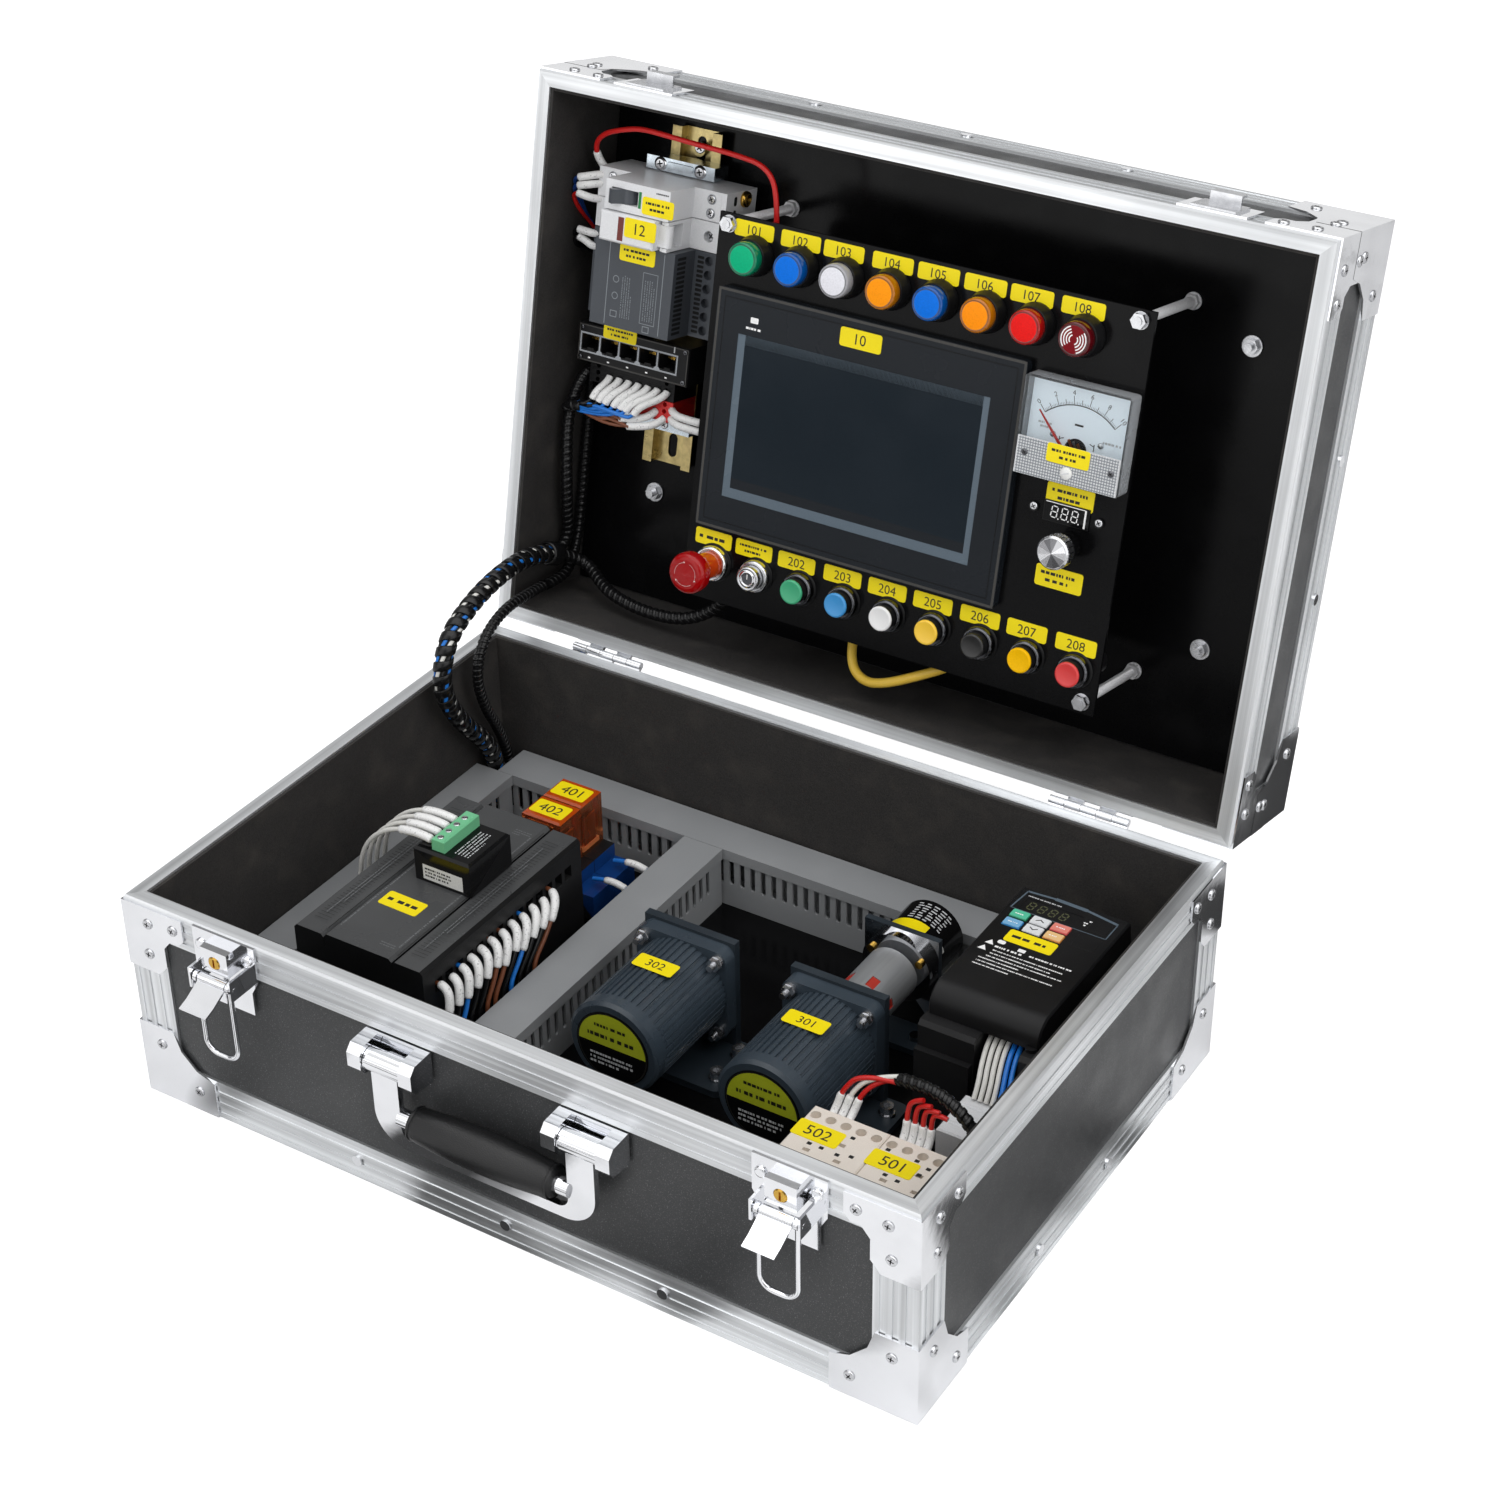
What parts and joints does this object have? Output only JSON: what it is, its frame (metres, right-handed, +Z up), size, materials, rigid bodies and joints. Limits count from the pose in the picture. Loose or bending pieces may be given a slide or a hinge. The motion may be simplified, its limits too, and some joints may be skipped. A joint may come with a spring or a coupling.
{
  "type": "programmable logic controller trainer",
  "caption": "Metal-edged carrying case: the hinged lid holds a touch screen, lamps, buttons and power devices; the base holds a controller, motors, an encoder, an inverter and contactors.",
  "frame": {"origin": "under the middle of the base, on the surface it stands on", "axes": "+X to the right seen from the front, +Y from the latches to the hinges, +Z up; the lid stands open"},
  "size_m": [0.5046, 0.5276, 0.4753],
  "materials": {
    "board": "dark speckled laminate",
    "foam": "matt foam",
    "edge_aluminium": "satin, ribbed",
    "plated_steel": "bright plated",
    "brass": "polished",
    "grip": "grained",
    "black_sheet": "semi-gloss black",
    "duct_grey": "matt grey",
    "controller_plastic": "fine grain",
    "relay_case": "clear tinted",
    "motor_paint": "blue-grey enamel",
    "bracket_paint": "enamel",
    "encoder_black": "anodised",
    "inverter_plastic": "fine grain",
    "contactor_cream": "semi-gloss",
    "steel": "zinc plated",
    "wire": "insulated wire",
    "harness_wrap": "spiral wrap",
    "lamp_lens": "translucent",
    "screen_plastic": "glossy black",
    "clear_plastic": "clear",
    "device_plastic": "moulded",
    "switch_plastic": "moulded",
    "coupling": "machined",
    "key_green": "moulded",
    "key_white": "moulded",
    "key_red": "moulded",
    "key_blue": "moulded",
    "key_amber": "moulded",
    "cap_red": "moulded",
    "cap_green": "moulded",
    "cap_blue": "moulded",
    "cap_white": "moulded",
    "cap_yellow": "moulded",
    "cap_black": "moulded",
    "toggle_grey": "moulded",
    "power_cap": "polished",
    "needle": "painted"
  },
  "bodies": {
    "case": {"base_panels": "board", "base_lining": "foam", "base_frame": "edge_aluminium", "base_corners": "plated_steel", "base_hinge_leaves": "plated_steel", "front_hardware": "plated_steel", "mounting_plate": "black_sheet", "wiring_ducts": "duct_grey", "controller": "controller_plastic", "relays": "relay_case", "motor_housings": "motor_paint", "motor_brackets": "bracket_paint", "encoder": "encoder_black", "inverter": "inverter_plastic", "contactors": "contactor_cream", "base_fasteners": "steel", "base_wiring": "wire", "hinge_harness": "harness_wrap"},
    "lid": {"lid_panels": "board", "lid_lining": "foam", "lid_frame": "edge_aluminium", "lid_hardware": "plated_steel", "lid_hinge_leaves": "plated_steel", "back_plate": "black_sheet", "front_plate": "black_sheet", "lamps_and_collars": "lamp_lens", "touch_screen": "screen_plastic", "panel_meters": "clear_plastic", "power_devices": "device_plastic", "terminal_devices": "switch_plastic", "lid_wiring": "harness_wrap"},
    "handle": {"handle_arms": "plated_steel", "handle_grip": "grip"},
    "motor_1_shaft": {"motor_1_shaft": "coupling"},
    "motor_2_shaft": {"motor_2_shaft": "steel"},
    "key_green": {"key_green": "key_green"},
    "key_up": {"key_up": "key_white"},
    "key_red": {"key_red": "key_red"},
    "key_blue": {"key_blue": "key_blue"},
    "key_down": {"key_down": "key_white"},
    "key_amber": {"key_amber": "key_amber"},
    "latch_lever_left": {"latch_lever_left": "plated_steel"},
    "latch_lever_right": {"latch_lever_right": "plated_steel"},
    "latch_bail_left": {"latch_bail_left": "plated_steel"},
    "latch_bail_right": {"latch_bail_right": "plated_steel"},
    "key_cylinder_left": {"key_cylinder_left": "brass"},
    "key_cylinder_right": {"key_cylinder_right": "brass"},
    "emergency_stop": {"emergency_stop": "cap_red"},
    "power_button": {"power_button": "power_cap"},
    "button_green": {"button_green": "cap_green"},
    "button_blue": {"button_blue": "cap_blue"},
    "button_white": {"button_white": "cap_white"},
    "button_yellow": {"button_yellow": "cap_yellow"},
    "button_black": {"button_black": "cap_black"},
    "button_amber": {"button_amber": "cap_yellow"},
    "button_red": {"button_red": "cap_red"},
    "input_knob": {"input_knob": "plated_steel"},
    "meter_needle": {"meter_needle": "needle"},
    "breaker_toggle": {"breaker_toggle": "toggle_grey"},
    "fuse_carrier": {"fuse_carrier": "device_plastic"}
  },
  "joints": [
    {"name": "lid_hinge", "type": "hinge", "parent": "case", "child": "lid", "pos_m": [0, 0.1741, 0.136], "axis": [1, 0, 0], "range_deg": [0, 102.6], "deforming": ["hinge_harness"]},
    {"name": "latch_lever_left_hinge", "type": "hinge", "parent": "case", "child": "latch_lever_left", "pos_m": [-0.178, -0.182, 0.112], "axis": [1, 0, 0], "range_deg": [-60, 60]},
    {"name": "latch_bail_left_hinge", "type": "hinge", "parent": "case", "child": "latch_bail_left", "pos_m": [-0.178, -0.182, 0.112], "axis": [1, 0, 0], "range_deg": [-180, 0]},
    {"name": "key_cylinder_left_turn", "type": "hinge", "parent": "case", "child": "key_cylinder_left", "pos_m": [-0.178, -0.175, 0.123], "axis": [0, -1, 0], "range_deg": [0, 90]},
    {"name": "latch_lever_right_hinge", "type": "hinge", "parent": "case", "child": "latch_lever_right", "pos_m": [0.178, -0.182, 0.112], "axis": [1, 0, 0], "range_deg": [-60, 60]},
    {"name": "latch_bail_right_hinge", "type": "hinge", "parent": "case", "child": "latch_bail_right", "pos_m": [0.178, -0.182, 0.112], "axis": [1, 0, 0], "range_deg": [-180, 0]},
    {"name": "key_cylinder_right_turn", "type": "hinge", "parent": "case", "child": "key_cylinder_right", "pos_m": [0.178, -0.175, 0.123], "axis": [0, -1, 0], "range_deg": [0, 90]},
    {"name": "handle_hinge", "type": "hinge", "parent": "case", "child": "handle", "pos_m": [0, -0.1805, 0.103], "axis": [1, 0, 0], "range_deg": [-95, 0]},
    {"name": "key_green_press", "type": "slide", "parent": "case", "child": "key_green", "axis": [0, 0, -1], "range_m": [0, 0.0006], "stiffness_N_per_m": 300},
    {"name": "key_up_press", "type": "slide", "parent": "case", "child": "key_up", "axis": [0, 0, -1], "range_m": [0, 0.0006], "stiffness_N_per_m": 300},
    {"name": "key_red_press", "type": "slide", "parent": "case", "child": "key_red", "axis": [0, 0, -1], "range_m": [0, 0.0006], "stiffness_N_per_m": 300},
    {"name": "key_blue_press", "type": "slide", "parent": "case", "child": "key_blue", "axis": [0, 0, -1], "range_m": [0, 0.0006], "stiffness_N_per_m": 300},
    {"name": "key_down_press", "type": "slide", "parent": "case", "child": "key_down", "axis": [0, 0, -1], "range_m": [0, 0.0006], "stiffness_N_per_m": 300},
    {"name": "key_amber_press", "type": "slide", "parent": "case", "child": "key_amber", "axis": [0, 0, -1], "range_m": [0, 0.0006], "stiffness_N_per_m": 300},
    {"name": "motor_1_spin", "type": "hinge", "parent": "case", "child": "motor_1_shaft", "pos_m": [0.0955, 0.02, 0.06], "axis": [0, 1, 0], "continuous": true},
    {"name": "motor_2_spin", "type": "hinge", "parent": "case", "child": "motor_2_shaft", "pos_m": [-0.001, 0.01, 0.06], "axis": [0, 1, 0], "continuous": true},
    {"name": "emergency_stop_press", "type": "slide", "parent": "lid", "child": "emergency_stop", "axis": [0, 0.9759, -0.2181], "range_m": [0, 0.004], "stiffness_N_per_m": 600, "springref_m": -0.002},
    {"name": "power_button_press", "type": "slide", "parent": "lid", "child": "power_button", "axis": [0, 0.9759, -0.2181], "range_m": [0, 0.004], "stiffness_N_per_m": 250, "springref_m": -0.002},
    {"name": "button_green_press", "type": "slide", "parent": "lid", "child": "button_green", "axis": [0, 0.9759, -0.2181], "range_m": [0, 0.004], "stiffness_N_per_m": 250, "springref_m": -0.002},
    {"name": "button_blue_press", "type": "slide", "parent": "lid", "child": "button_blue", "axis": [0, 0.9759, -0.2181], "range_m": [0, 0.004], "stiffness_N_per_m": 250, "springref_m": -0.002},
    {"name": "button_white_press", "type": "slide", "parent": "lid", "child": "button_white", "axis": [0, 0.9759, -0.2181], "range_m": [0, 0.004], "stiffness_N_per_m": 250, "springref_m": -0.002},
    {"name": "button_yellow_press", "type": "slide", "parent": "lid", "child": "button_yellow", "axis": [0, 0.9759, -0.2181], "range_m": [0, 0.004], "stiffness_N_per_m": 250, "springref_m": -0.002},
    {"name": "button_black_press", "type": "slide", "parent": "lid", "child": "button_black", "axis": [0, 0.9759, -0.2181], "range_m": [0, 0.004], "stiffness_N_per_m": 250, "springref_m": -0.002},
    {"name": "button_amber_press", "type": "slide", "parent": "lid", "child": "button_amber", "axis": [0, 0.9759, -0.2181], "range_m": [0, 0.004], "stiffness_N_per_m": 250, "springref_m": -0.002},
    {"name": "button_red_press", "type": "slide", "parent": "lid", "child": "button_red", "axis": [0, 0.9759, -0.2181], "range_m": [0, 0.004], "stiffness_N_per_m": 250, "springref_m": -0.002},
    {"name": "input_knob_turn", "type": "hinge", "parent": "lid", "child": "input_knob", "pos_m": [0.127, 0.20641, 0.28053], "axis": [0, 0.9759, -0.2181], "range_deg": [-150, 150]},
    {"name": "meter_needle_swing", "type": "hinge", "parent": "lid", "child": "meter_needle", "pos_m": [0.124, 0.21258, 0.32834], "axis": [0, 0.9759, -0.2181], "range_deg": [0, 84], "stiffness_Nm_per_rad": 0.0002, "springref_deg": -22.92},
    {"name": "breaker_toggle_throw", "type": "hinge", "parent": "lid", "child": "breaker_toggle", "pos_m": [-0.186, 0.24695, 0.40688], "axis": [0, 0.2181, 0.9759], "range_deg": [0, 60]},
    {"name": "fuse_carrier_hinge", "type": "hinge", "parent": "lid", "child": "fuse_carrier", "pos_m": [-0.157, 0.24201, 0.38939], "axis": [0, 0.2181, 0.9759], "range_deg": [0, 90]}
  ]
}
